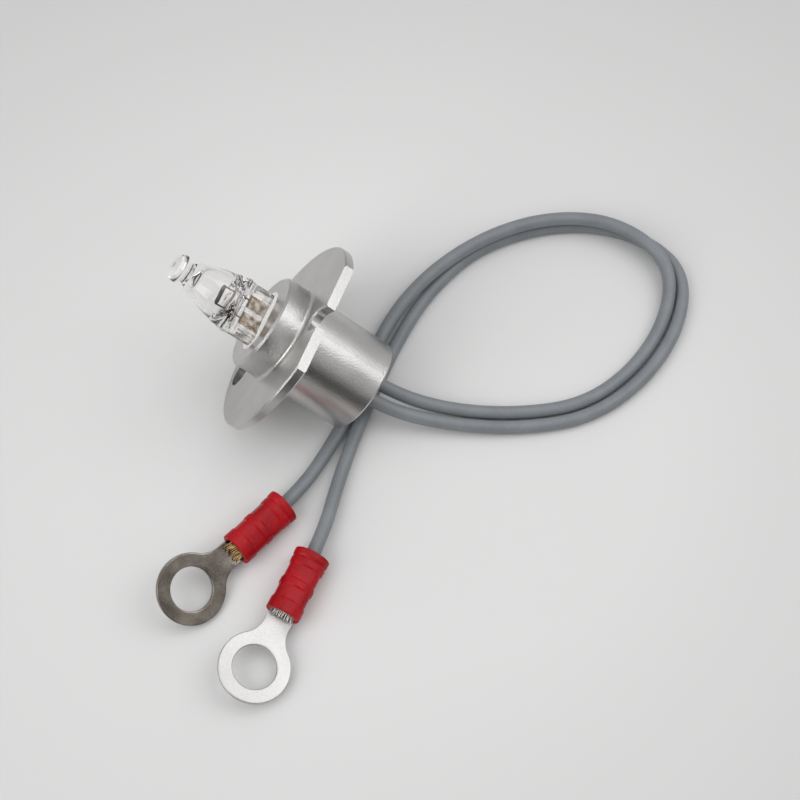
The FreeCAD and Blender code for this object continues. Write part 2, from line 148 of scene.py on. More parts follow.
class Graph:
    """Node graph of one material or of the world."""

    def __init__(self, tree: bpy.types.NodeTree) -> None:
        """Start from an emptied tree."""
        self.tree = tree
        self.tree.nodes.clear()

    def node(self, kind: str, settings: dict[str, Any] | None = None,
             inputs: dict[Any, Any] | None = None) -> bpy.types.Node:
        """Add a node.

        Args:
            kind: Type name of the node.
            settings: Attributes set first; "stops" fills a colour ramp.
            inputs: Values, sockets or Value objects by socket name or number.

        Returns:
            The new node.
        """
        node = self.tree.nodes.new(kind)
        for name, setting in (settings or {}).items():
            if name == "stops":
                self._fill_ramp(node, setting)
            else:
                setattr(node, name, setting)
        for name, given in (inputs or {}).items():
            if isinstance(given, Value):
                given = given.socket
            if isinstance(given, bpy.types.NodeSocket):
                self.tree.links.new(given, node.inputs[name])
            else:
                node.inputs[name].default_value = given
        return node

    @staticmethod
    def _fill_ramp(node: bpy.types.Node, stops: Sequence[tuple[float, Colour]]) -> None:
        """Set the two stops of a new colour ramp.

        Args:
            node: The colour ramp.
            stops: Position and colour of each stop.
        """
        for element, (position, colour) in zip(node.color_ramp.elements, stops):
            element.position = position
            element.color = colour

    def noise(self, grain: float, detail: float, draw: Triple = (1.0, 1.0, 1.0)) -> Value:
        """Noise fixed to the object.

        Args:
            grain: Size of one grain in millimetres.
            detail: Octaves of finer noise.
            draw: How many times longer a grain is along each axis of the lamp.

        Returns:
            The noise, about 0.5 on average.
        """
        place = self.node("ShaderNodeTexCoord").outputs["Object"]
        drawn = self.node("ShaderNodeMapping", {"vector_type": "TEXTURE"}, {
            "Vector": place, "Rotation": (0.0, LAMP_TILT, 0.0), "Scale": draw,
        })
        inputs = {"Vector": drawn.outputs[0], "Scale": 1.0 / (grain * MM), "Detail": detail}
        return Value(self, self.node("ShaderNodeTexNoise", None, inputs).outputs[0])

    def fade(self, value: Value, span: Pair, first: Colour, last: Colour) -> bpy.types.NodeSocket:
        """Colour that goes from a first to a last one over a span of a value."""
        stops = list(zip(span, (first, last)))
        return self.node("ShaderNodeValToRGB", {"stops": stops}, {0: value}).outputs[0]

    def bump(self, height: Value, depth: float, strength: float) -> bpy.types.NodeSocket:
        """Normal of a surface with relief of a depth in millimetres."""
        inputs = {"Height": height, "Distance": depth * MM, "Strength": strength}
        return self.node("ShaderNodeBump", None, inputs).outputs[0]

    def surface(self, inputs: dict[str, Any]) -> bpy.types.NodeSocket:
        """Main surface shader."""
        return self.node("ShaderNodeBsdfPrincipled", None, inputs).outputs[0]

    def finish(self, shader: bpy.types.NodeSocket) -> None:
        """Lead a shader to the material's output."""
        self.node("ShaderNodeOutputMaterial", None, {"Surface": shader})


@dataclass(frozen=True)
class Finish:
    """A surface finish, made once and shared by the pieces that carry it."""

    name: str
    made: ClassVar[dict[str, bpy.types.Material]] = {}

    def paint(self, graph: Graph) -> None:
        """Build the node graph of the finish."""
        raise NotImplementedError

    def material(self) -> bpy.types.Material:
        """Material of the finish, painted the first time it is asked for.

        Returns:
            The material that all pieces with the finish share.
        """
        if self.name not in self.made:
            material = bpy.data.materials.new(self.name)
            material.use_nodes = True
            self.paint(Graph(material.node_tree))
            self.made[self.name] = material
        return self.made[self.name]

    def dress(self, piece: bpy.types.Object) -> None:
        """Give the finish to a piece, in place of what it carries."""
        piece.data.materials.clear()
        piece.data.materials.append(self.material())


@dataclass(frozen=True)
class GrainedMetal(Finish):
    """Metal with a fine grain that scatters its gloss."""

    light: Colour
    dark: Colour
    roughness: float
    grain: float
    depth: float
    strength: float = 0.5
    sparkle: float = 0.06
    span: Pair = (0.36, 0.62)
    cloud_size: float = 22.0
    cloud_share: float = 0.65
    cloud_gloss: float = 0.1

    def paint(self, graph: Graph) -> None:
        """Grain in relief and gloss, and clouds many grains wide in colour and gloss.

        Args:
            graph: Graph of the new material.
        """
        grain = graph.noise(self.grain, 1.0)
        clouds = graph.noise(self.grain * self.cloud_size, 2.0)
        mix = grain * (1 - self.cloud_share) + clouds * self.cloud_share
        uneven = (grain - 0.5) * self.sparkle + (clouds - 0.5) * self.cloud_gloss
        graph.finish(graph.surface({
            "Base Color": graph.fade(mix, self.span, self.dark, self.light),
            "Metallic": 1.0,
            "Roughness": uneven + self.roughness,
            "Normal": graph.bump(grain, self.depth, self.strength),
        }))


@dataclass(frozen=True)
class Quartz(Finish):
    """Clear fused quartz that lets light through to what it holds."""

    tint: Colour = rgb(1.0, 0.988, 0.984)
    index: float = 1.458
    roughness: float = 0.0
    grain: float = 0.5
    draw: Triple = (1.0, 1.0, 1.0)
    relief: float = 0.0
    relief_strength: float = 0.6
    frost: float = 0.0
    frost_colour: Colour = rgb(0.93, 0.9, 0.86)
    frost_roughness: float = 0.6
    frost_size: float = 1.8
    frost_span: Pair = (0.36, 0.6)
    # painted shade: dark streaks that stand in for refraction at the shoulder's folds and the
    # pinch's beads
    painted_shade: float = 0.0
    painted_shade_colour: Colour = rgb(0.09, 0.09, 0.085)
    painted_shade_roughness: float = 0.25
    painted_shade_size: float = 0.6
    painted_shade_span: Pair = (0.47, 0.6)
    shadow: Colour = rgb(0.96, 0.96, 0.96)

    def paint(self, graph: Graph) -> None:
        """Glass, rippled or frosted where it was pressed, with streaks of painted shade; shadow rays
        pass it.

        Args:
            graph: Graph of the new material.
        """
        inputs: dict[str, Any] = {
            "Base Color": self.tint,
            "Roughness": self.roughness,
            "IOR": self.index,
            "Transmission Weight": 1.0,
        }
        if self.relief > 0:
            relief = graph.noise(self.grain, 3.0, self.draw)
            inputs["Normal"] = graph.bump(relief, self.relief, self.relief_strength)
        glass = graph.surface(inputs)
        if self.frost > 0:
            crust = {"Base Color": self.frost_colour, "Roughness": self.frost_roughness}
            patches = graph.noise(self.grain * self.frost_size, 4.0)
            glass = self.laid_over(graph, glass, crust, patches, self.frost_span, self.frost)
        # painted shade: dark streaks laid over the glass
        if self.painted_shade > 0:
            shade = {"Base Color": self.painted_shade_colour, "Roughness": self.painted_shade_roughness}
            lines = graph.noise(self.grain * self.painted_shade_size, 2.0, self.draw)
            glass = self.laid_over(graph, glass, shade, lines, self.painted_shade_span, self.painted_shade)
        clear = graph.node("ShaderNodeBsdfTransparent", None, {"Color": self.shadow})
        path = graph.node("ShaderNodeLightPath").outputs["Is Shadow Ray"]
        mixed = graph.node("ShaderNodeMixShader", None, {0: path, 1: glass, 2: clear.outputs[0]})
        graph.finish(mixed.outputs[0])

    @staticmethod
    def laid_over(graph: Graph, under: bpy.types.NodeSocket, skin: dict[str, Any], pattern: Value,
                  span: Pair, most: float) -> bpy.types.NodeSocket:
        """Lay a thin skin over a shader where a pattern is high: the frost, and the painted shade
        streaks.

        Args:
            graph: Graph to build in.
            under: Shader that stays where the pattern is low.
            skin: Settings of the skin's surface.
            pattern: The pattern.
            span: Pattern values at which the skin begins and is whole.
            most: How much of the skin shows where it is whole.

        Returns:
            The shader of both.
        """
        share = graph.fade(pattern, span, rgb(0.0, 0.0, 0.0), rgb(most, most, most))
        inputs = {0: share, 1: under, 2: graph.surface(skin)}
        return graph.node("ShaderNodeMixShader", None, inputs).outputs[0]


@dataclass(frozen=True)
class Mineral(Finish):
    """Dry cast filling: cement or potting."""

    light: Colour
    dark: Colour
    grain: float
    roughness: float = 0.72
    unevenness: float = 0.2
    depth: float = 0.09
    strength: float = 0.7
    span: Pair = (0.35, 0.6)
    cloud_size: float = 9.0

    def paint(self, graph: Graph) -> None:
        """Crumbly relief with pale and darker grains.

        Args:
            graph: Graph of the new material.
        """
        lumps = graph.noise(self.grain, 5.0)
        clouds = graph.noise(self.grain * self.cloud_size, 2.0)
        graph.finish(graph.surface({
            "Base Color": graph.fade(lumps * 0.5 + clouds * 0.5, self.span, self.dark, self.light),
            "Roughness": lumps * self.unevenness + self.roughness,
            "Normal": graph.bump(lumps, self.depth, self.strength),
        }))


@dataclass(frozen=True)
class Polymer(Finish):
    """Extruded or moulded plastic with a soft gloss."""

    light: Colour
    dark: Colour
    roughness: float
    grain: float
    depth: float
    scatter: float = 0.0
    scatter_reach: float = 0.6
    gloss: float = 0.5
    span: Pair = (0.38, 0.62)
    cloud_size: float = 8.0
    fine_gloss: float = 0.16
    cloud_gloss: float = 0.1
    cloud_share: float = 0.7
    strength: float = 0.5

    def paint(self, graph: Graph) -> None:
        """Faint clouds in colour, fine relief and uneven gloss.

        Args:
            graph: Graph of the new material.
        """
        clouds = graph.noise(self.grain * self.cloud_size, 3.0)
        fine = graph.noise(self.grain, 3.0)
        mix = clouds * self.cloud_share + fine * (1 - self.cloud_share)
        least = self.roughness - (self.fine_gloss + self.cloud_gloss) / 2
        graph.finish(graph.surface({
            "Base Color": graph.fade(mix, self.span, self.dark, self.light),
            "Roughness": fine * self.fine_gloss + clouds * self.cloud_gloss + least,
            "Specular IOR Level": self.gloss,
            "Subsurface Weight": self.scatter,
            "Subsurface Scale": self.scatter_reach * MM,
            "Normal": graph.bump(fine * 0.5 + clouds * 0.5, self.depth, self.strength),
        }))


@dataclass(frozen=True)
class TableTop(Finish):
    """Plain pale surface under the lamp, with painted shade: a little darker away from it."""

    colour: Colour
    edge_share: float = 0.86
    middle: Triple = (20.0, 0.0, 0.0)
    reach: float = 110.0
    span: Pair = (0.35, 0.9)
    roughness: float = 0.9
    gloss: float = 0.1

    def paint(self, graph: Graph) -> None:
        """Matt, with painted shade fading it slowly outward.

        Args:
            graph: Graph of the new material.
        """
        place = graph.node("ShaderNodeTexCoord").outputs["Object"]
        middle = Vector(self.middle) * MM
        gap = graph.node("ShaderNodeVectorMath", {"operation": "DISTANCE"}, {0: place, 1: middle})
        share = Value(graph, gap.outputs["Value"]) * (1.0 / (self.reach * MM))
        edge = rgb(*(part * self.edge_share for part in self.colour[:3]))
        graph.finish(graph.surface({
            # painted shade: the table's colour darkens away from the lamp
            "Base Color": graph.fade(share, self.span, self.colour, edge),
            "Roughness": self.roughness,
            "Specular IOR Level": self.gloss,
        }))


class Plating(Enum):
    """How a ring terminal is plated; the bright plating's colour holds painted shade."""

    # painted shade: a darkened base colour that stands in for the dark reflections of ring a
    BRIGHT = GrainedMetal(
        "tin_bright_painted_shade", light=rgb(0.32, 0.289, 0.253), dark=rgb(0.11, 0.091, 0.075),
        roughness=0.15, grain=0.16, depth=0.002, strength=0.3,
    )
    MATT = GrainedMetal(
        "tin_matt", light=rgb(0.64, 0.63, 0.62), dark=rgb(0.52, 0.51, 0.5),
        roughness=0.42, grain=0.3, depth=0.012,
    )


class Wire(Enum):
    """Metal of a lead's bared strands."""

    GOLDEN = GrainedMetal(
        "strand_golden", light=rgb(0.62, 0.43, 0.21), dark=rgb(0.2, 0.12, 0.06),
        roughness=0.2, grain=0.1, depth=0.01,
    )
    TINNED = GrainedMetal(
        "strand_tinned", light=rgb(0.72, 0.7, 0.66), dark=rgb(0.4, 0.38, 0.35),
        roughness=0.34, grain=0.1, depth=0.01,
    )


class BulbZone(Enum):
    """Quartz of each zone of the bulb, in the order of the bulb's material slots."""

    CLEAR = Quartz("clear_quartz")
    PRESSED = Quartz("pressed_quartz", roughness=0.03, relief=0.05, frost=0.4)
    # the folded and bead zones carry painted shade: dark streaks for refraction at the shoulder and
    # the beads
    FOLDED = Quartz("folded_quartz_painted_shade", relief=0.035, grain=0.36, painted_shade=0.38, draw=(5.0, 12.0, 1.0))
    BEAD = Quartz("bead_quartz_painted_shade", relief=0.05, painted_shade=0.7, draw=(1.0, 1.0, 8.0))


HOLDER_METAL = GrainedMetal(
    "blasted_aluminium", light=rgb(0.565, 0.559, 0.549), dark=rgb(0.48, 0.474, 0.464),
    roughness=0.31, grain=0.24, depth=0.05, strength=0.6, sparkle=0.03,
)
TUNGSTEN = GrainedMetal(
    "drawn_tungsten", light=rgb(0.11, 0.105, 0.1), dark=rgb(0.05, 0.048, 0.046),
    roughness=0.4, grain=0.08, depth=0.006,
)
FOIL = GrainedMetal(
    "sealing_foil", light=rgb(0.25, 0.17, 0.09), dark=rgb(0.045, 0.032, 0.022),
    roughness=0.4, grain=0.16, depth=0.02,
)
PIN_METAL = GrainedMetal(
    "bright_pin", light=rgb(0.6, 0.6, 0.6), dark=rgb(0.42, 0.42, 0.42),
    roughness=0.35, grain=0.15, depth=0.008,
)
CEMENT = Mineral("white_cement", light=rgb(0.88, 0.87, 0.85), dark=rgb(0.72, 0.7, 0.66), grain=0.35)
POTTING = Mineral("cast_potting", light=rgb(0.76, 0.75, 0.71), dark=rgb(0.6, 0.58, 0.54), grain=0.5)
INSULATION = Polymer(
    "grey_insulation", light=rgb(0.22, 0.238, 0.255), dark=rgb(0.19, 0.205, 0.22),
    roughness=0.42, grain=0.45, depth=0.012,
)
RED_SLEEVE = Polymer(
    "red_sleeve", light=rgb(0.44, 0.006, 0.012), dark=rgb(0.3, 0.003, 0.007),
    roughness=0.36, grain=0.45, depth=0.16, scatter=0.05, gloss=0.2,
)


class MeshDraft:
    """A mesh built up from closed rings of points."""

    def __init__(self, place: Matrix) -> None:
        """Points are given in millimetres in a frame that place moves to the table."""
        self.place = place
        self.mesh = bmesh.new()

    def rings(self, rings: Sequence[Sequence[Vector]], loop: bool = False,
              inward: bool = False) -> None:
        """Join rings of equally many points.

        Args:
            rings: Closed rings in order.
            loop: The last ring joins the first; otherwise fans close both ends.
            inward: The faces look into the space that the rings enclose.
        """
        verts = [[self.mesh.verts.new(self.place @ point) for point in ring] for ring in rings]
        count = len(verts[0])
        faces = []
        pairs = list(zip(verts, verts[1:]))
        if loop:
            pairs.append((verts[-1], verts[0]))
        for near, far in pairs:
            for i in range(count):
                j = (i + 1) % count
                faces.append(self.mesh.faces.new((near[i], near[j], far[j], far[i])))
        if not loop:
            for ring in (verts[0], verts[-1]):
                middle = sum((vert.co for vert in ring), Vector()) / count
                centre = self.mesh.verts.new(middle)
                for i in range(count):
                    faces.append(self.mesh.faces.new((centre, ring[i], ring[(i + 1) % count])))
        bmesh.ops.recalc_face_normals(self.mesh, faces=faces)
        if inward:
            bmesh.ops.reverse_faces(self.mesh, faces=faces)

    def tube(self, points: Sequence[Vector], radius: float, sides: int) -> None:
        """Round rod along points that run mainly along x.

        Args:
            points: Points of its middle line.
            radius: Radius of the rod.
            sides: Number of faces round it.
        """
        rings = []
        for point in points:
            ring = []
            for side in range(sides):
                angle = math.tau * side / sides
                ring.append(point + radius * Vector((0, math.cos(angle), math.sin(angle))))
            rings.append(ring)
        self.rings(rings)

    def piece(self, name: str, sharp_angle: float = 40.0) -> bpy.types.Object:
        """Finish the mesh as a smooth-shaded piece of the object.

        Args:
            name: Name of the piece.
            sharp_angle: Angle in degrees from which an edge stays sharp.

        Returns:
            The piece, in the scene.
        """
        data = bpy.data.meshes.new(name)
        self.mesh.to_mesh(data)
        self.mesh.free()
        data.shade_smooth()
        data.set_sharp_from_angle(angle=math.radians(sharp_angle))
        piece = bpy.data.objects.new(name, data)
        bpy.context.scene.collection.objects.link(piece)
        return piece


def seat_piece(piece: bpy.types.Object, node: str) -> bpy.types.Object:
    """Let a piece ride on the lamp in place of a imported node.

    Args:
        piece: The finished piece.
        node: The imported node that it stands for.

    Returns:
        The same piece.
    """
    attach(piece, "root")
    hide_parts(node)
    log.info("%s stands for %s", piece.name, node)
    return piece


@dataclass
class LampFrame:
    """Place of the lamp's own frame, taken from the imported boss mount."""

    boss_mount_height: float = 2.075

    def matrix(self, record: dict[str, Any]) -> Matrix:
        """Lamp frame in millimetres to the table in metres.

        Args:
            record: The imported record.

        Returns:
            The matrix of the frame, with the lamp's axis as z.
        """
        boss = next(mount for mount in record["mounts"] if mount["name"] == "boss")
        axis = Vector(boss["axis"]).normalized()
        origin = Vector(boss["pos_m"]) - self.boss_mount_height * MM * axis
        across = Vector((0, 1, 0))
        up = across.cross(axis)
        turn = Matrix((up, across, axis)).transposed().to_4x4()
        return Matrix.Translation(origin) @ turn @ Matrix.Scale(MM, 4)


@dataclass
class QuartzBulb:
    """Capsule bulb: dome with a sealed nib, flared shoulder, beaded pinch, hollow inside."""

    bulb_radius: float = 3.95
    shoulder: float = 7.4
    shoulder_end: float = 11.1
    dome_top: float = 16.8
    tip: float = 19.2
    dome_thickness: float = 1.25
    nib_radius: float = 2.12
    pinch_bottom: float = 0.9
    pinch_radius: float = 4.25
    web_half: float = 0.95
    bead_radius: float = 1.3
    flare_rate: float = 1.5
    flare_line: Line = ((1.0, -0.16), (1.02, 0.22), (0.97, 0.46))
    dome_start: float = 0.73
    dome_line: Line = (
        (0.93, 0.164), (0.83, 0.403), (0.7, 0.657), (0.57, 0.851), (0.44, 0.948), (0.4, 1.0),
    )
    nib_line: Line = ((0.75, 0.854), (0.96, 0.667), (1.0, 0.479), (0.88, 0.229), (0.5, 0.05))
    cavity_floor: float = 0.32
    cavity_line: Line = (
        (0.01, 0.0), (0.35, 0.01), (0.65, 0.12), (0.8, 0.26),
        (0.73, 0.54), (0.58, 0.79), (0.39, 0.94), (0.01, 1.0),
    )
    pole_radius: float = 0.01
    ripple_depth: float = 0.16
    ripple_length: float = 0.8
    ripple_span: Pair = (-0.3, 0.4)
    free_from: float = 0.8
    easing: float = 5.0
    corner_power: float = 14.0
    bead_share: float = 0.32
    bead_inset: float = 1.04
    fold_rise: float = 1.15
    fold_drop: float = 0.55
    sharp_angle: float = 60.0
    around: int = 192
    steps: int = 8

    def outer_profile(self) -> list[Pair]:
        """Radius and height along the outside, from the pinch to the tip.

        Returns:
            Points of the turned outside, before the pinch is pressed.
        """
        start = along(self.shoulder, self.shoulder_end, self.dome_start)
        points = [(self.pinch_radius, self.pinch_bottom)]
        for wide, up in self.flare_line:
            points.append((wide * self.pinch_radius, along(self.shoulder, self.shoulder_end, up)))
        points.append((self.bulb_radius, start))
        for wide, up in self.dome_line:
            points.append((wide * self.bulb_radius, along(start, self.dome_top, up)))
        for wide, up in self.nib_line:
            points.append((wide * self.nib_radius, along(self.tip, self.dome_top, up)))
        points.append((self.pole_radius, self.tip))
        return smooth_path(points, self.steps)

    def cavity_profile(self) -> list[Pair]:
        """Radius and height along the inside, from the floor of the hollow to its top.

        Returns:
            Points of the turned inside.
        """
        floor = along(self.shoulder, self.shoulder_end, self.cavity_floor)
        top = self.dome_top - self.dome_thickness
        points = [(wide * self.bulb_radius, along(floor, top, up)) for wide, up in self.cavity_line]
        return smooth_path(points, self.steps)

    def reach(self, radius: float, height: float, angle: float) -> float:
        """Distance from the axis to the outside at an angle from the pressed faces' normal.

        Args:
            radius: Radius that the turned outside has at the height.
            height: Height along the axis.
            angle: Angle round the axis in radians.

        Returns:
            The distance in millimetres.
        """
        rise = (height - self.shoulder) / (self.shoulder_end - self.shoulder)
        half = along(self.web_half, self.bulb_radius, smoothstep(self.flare_rate * rise))
        begins, ends = self.ripple_span
        rippled = smoothstep((rise - begins) * self.easing)
        rippled *= 1 - smoothstep((rise - ends) * self.easing)
        half += self.ripple_depth * rippled * math.sin(math.tau * height / self.ripple_length)
        flatness = abs(math.cos(angle)) + 1e-6
        power = self.corner_power
        pressed = (radius ** -power + (half / flatness) ** -power) ** (-1 / power)
        freedom = smoothstep((rise - self.free_from) * self.easing)
        pressed = along(pressed, radius, freedom)
        centre = self.pinch_radius - self.bead_radius
        room = self.bead_radius ** 2 - (centre * math.cos(angle)) ** 2
        if room <= 0 or rise > self.bead_share:
            return pressed
        bead = centre * abs(math.sin(angle)) + math.sqrt(room)
        return max(pressed, bead)

    def ring(self, radius: float, height: float, pressed: bool) -> list[Vector]:
        """Closed ring of points at a height.

        Args:
            radius: Radius of the turned form.
            height: Height along the axis.
            pressed: The pinch's press shapes the ring.

        Returns:
            The points of the ring.
        """
        points = []
        for i in range(self.around):
            angle = math.tau * i / self.around
            reach = self.reach(radius, height, angle) if pressed else radius
            points.append(Vector((reach * math.cos(angle), reach * math.sin(angle), height)))
        return points

    def zone(self, point: Vector) -> BulbZone:
        """Which quartz is at a point of the lamp's frame.

        Args:
            point: Middle of a face of the bulb.

        Returns:
            The zone of the bulb that holds the point.
        """
        if point.z > self.shoulder + self.fold_rise:
            return BulbZone.CLEAR
        if point.z > self.shoulder - self.fold_drop:
            return BulbZone.FOLDED
        if abs(point.y) > self.pinch_radius - self.bead_inset:
            return BulbZone.BEAD
        return BulbZone.PRESSED

    def build(self, place: Matrix) -> bpy.types.Object:
        """Build the bulb and give it its quartz.

        Args:
            place: Frame of the piece in millimetres to the table in metres.

        Returns:
            The bulb.
        """
        draft = MeshDraft(place)
        draft.rings([self.ring(radius, height, True) for radius, height in self.outer_profile()])
        draft.rings(
            [self.ring(radius, height, False) for radius, height in self.cavity_profile()],
            inward=True,
        )
        piece = draft.piece("quartz_bulb", self.sharp_angle)
        slots = {}
        for slot, zone in enumerate(BulbZone):
            piece.data.materials.append(zone.value.material())
            slots[zone] = slot
        back = place.inverted()
        for face in piece.data.polygons:
            face.material_index = slots[self.zone(back @ face.center)]
        return seat_piece(piece, "bulb_envelope")


@dataclass
class FilamentCoil:
    """Close coil of fine wire across the axis."""

    height: float = 11.0
    length: float = 2.85
    coil_diameter: float = 0.68
    wire_diameter: float = 0.11
    turns: int = 20
    points_per_turn: int = 12
    roundness: int = 3

    def build(self, place: Matrix) -> bpy.types.Object:
        """Build the coil as one bevelled curve.

        Args:
            place: Frame of the piece in millimetres to the table in metres.

        Returns:
            The coil.
        """
        count = self.turns * self.points_per_turn
        coil_radius = (self.coil_diameter - self.wire_diameter) / 2
        run = self.length - self.wire_diameter
        points = []
        for i in range(count + 1):
            angle = math.tau * i / self.points_per_turn
            offset = -run / 2 + run * i / count
            height = self.height + coil_radius * math.sin(angle)
            points.append(place @ Vector((coil_radius * math.cos(angle), offset, height)))
        wire_radius = self.wire_diameter / 2 * MM
        piece = thread_curve("filament_coil", points, wire_radius, self.roundness)
        TUNGSTEN.dress(piece)
        return seat_piece(piece, "filament")


def thread_curve(name: str, points: Sequence[Vector], radius: float,
                 roundness: int) -> bpy.types.Object:
    """Round thread along the smooth spline of its control points.

    Args:
        name: Name of the piece.
        points: Control points in metres.
        radius: Radius of the thread in metres.
        roundness: Detail of its round section.

    Returns:
        The curve as an object.
    """
    curve = bpy.data.curves.new(name, "CURVE")
    curve.dimensions = "3D"
    curve.bevel_depth = radius
    curve.bevel_resolution = roundness
    curve.resolution_u = CURVE_STEPS
    curve.use_fill_caps = True
    spline = curve.splines.new("NURBS")
    spline.points.add(len(points) - 1)
    for target, point in zip(spline.points, points):
        target.co = (*point, 1.0)
    spline.order_u = 3
    spline.use_endpoint_u = True
    piece = bpy.data.objects.new(name, curve)
    bpy.context.scene.collection.objects.link(piece)
    return piece


@dataclass
class TerminalSeat:
    """Where the mouth of one sleeve lies on the table and how its terminal points."""

    mouth: Triple
    heading: float
    pitch: float
    roll: float

    def matrix(self) -> Matrix:
        """Terminal frame in millimetres to the table in metres.

        Returns:
            The matrix of the frame, with x from the mouth of the sleeve to the ring.
        """
        turn = Matrix.Rotation(math.radians(self.heading), 4, "Z")
        turn = turn @ Euler((0, math.radians(-self.pitch), 0)).to_matrix().to_4x4()
        turn = turn @ Matrix.Rotation(math.radians(self.roll), 4, "X")
        return Matrix.Translation(Vector(self.mouth) * MM) @ turn @ Matrix.Scale(MM, 4)


@dataclass
class CrimpSleeve:
    """Soft sleeve pressed over the crimp barrel in two places."""

    length: float = 10.0
    barrel_width: float = 3.8
    barrel_height: float = 2.6
    barrel_start: float = 4.0
    wall: float = 0.6
    mouth_wall: float = 0.8
    bore_radius: float = 1.175
    lip: float = 0.13
    groove_at: float = 1.25
    groove_half: float = 0.3
    groove_depth: float = 0.13
    presses: tuple[Triple, ...] = ((0.23, 0.47, 0.03), (0.58, 0.8, 0.025))
    side_shares: Pair = (1.16, 0.84)
    face_shares: Pair = (1.02, 0.66)
    squareness: Pair = (2.1, 2.9)
    mouth_share: float = 0.22
    slack: float = 0.02
    funnel: tuple[Triple, ...] = ((1.3, 0.0, 0.0), (0.45, 0.55, 0.5), (0.05, 1.6, 1.1))
    sharp_angle: float = 35.0
    around: int = 96
    along_steps: int = 96

    def walls(self, share: float) -> Triple:
        """Side wall, face wall and squareness at a share of the length.

        Each press has the shares of the length where it begins and ends, and the share that
        its edge takes. The two values of a pair hold outside a press and in it.

        Args:
            share: Share of the length from the mouth.

        Returns:
            The two walls in millimetres, and the power of the sleeve's section.
        """
        press = max(
            smoothstep((share - begins) / edge) - smoothstep((share - ends) / edge)
            for begins, ends, edge in self.presses
        )
        mouth = 1 - smoothstep(share / self.mouth_share)
        side = self.wall * along(*self.side_shares, press)
        face = self.wall * along(*self.face_shares, press)
        return (
            along(side, self.mouth_wall, mouth),
            along(face, self.mouth_wall, mouth),
            along(*self.squareness, press),
        )

    def ring(self, x: float, width: float, height: float, power: float) -> list[Vector]:
        """Closed superelliptic ring square to x.

        Args:
            x: Place of the ring along the terminal.
            width: Full width of the ring.
            height: Full height of the ring.
            power: Squareness, from OVAL_POWER upward.

        Returns:
            The points of the ring.
        """
        points = []
        for i in range(self.around):
            angle = math.tau * i / self.around
            c, s = math.cos(angle), math.sin(angle)
            scale = (abs(c) ** power + abs(s) ** power) ** (-1 / power)
            points.append(Vector((x, width / 2 * scale * c, height / 2 * scale * s)))
        return points

    def build(self, name: str, place: Matrix) -> bpy.types.Object:
        """Build one sleeve, its skin and its bore in one closed surface.

        Args:
            name: Letter of the lead.
            place: Frame of the piece in millimetres to the table in metres.

        Returns:
            The sleeve.
        """
        rings = []
        for i in range(self.along_steps + 1):
            x = self.length * i / self.along_steps
            side, face, power = self.walls(x / self.length)
            end = min(x, self.length - x)
            pull = self.lip * (1 - math.sqrt(max(0.0, 1 - (1 - min(1.0, end / self.lip)) ** 2)))
            pull += self.groove_depth * max(0.0, 1 - abs(x - self.groove_at) / self.groove_half)
            width = self.barrel_width + 2 * (side - pull)
            height = self.barrel_height + 2 * (face - pull)
            rings.append(self.ring(x, width, height, power))
        width = self.barrel_width + self.slack
        height = self.barrel_height + self.slack
        for x in (self.length - self.slack, self.barrel_start + self.slack):
            rings.append(self.ring(x, width, height, OVAL_POWER))
        bore = 2 * self.bore_radius
        rings.append(self.ring(self.barrel_start, bore, bore, OVAL_POWER))
        for x, wider, higher in self.funnel:
            rings.append(self.ring(x, bore + wider, bore + higher, OVAL_POWER))
        draft = MeshDraft(place)
        draft.rings(rings, loop=True)
        piece = draft.piece("red_sleeve_" + name, self.sharp_angle)
        RED_SLEEVE.dress(piece)
        return seat_piece(piece, "terminal_sleeve_" + name)


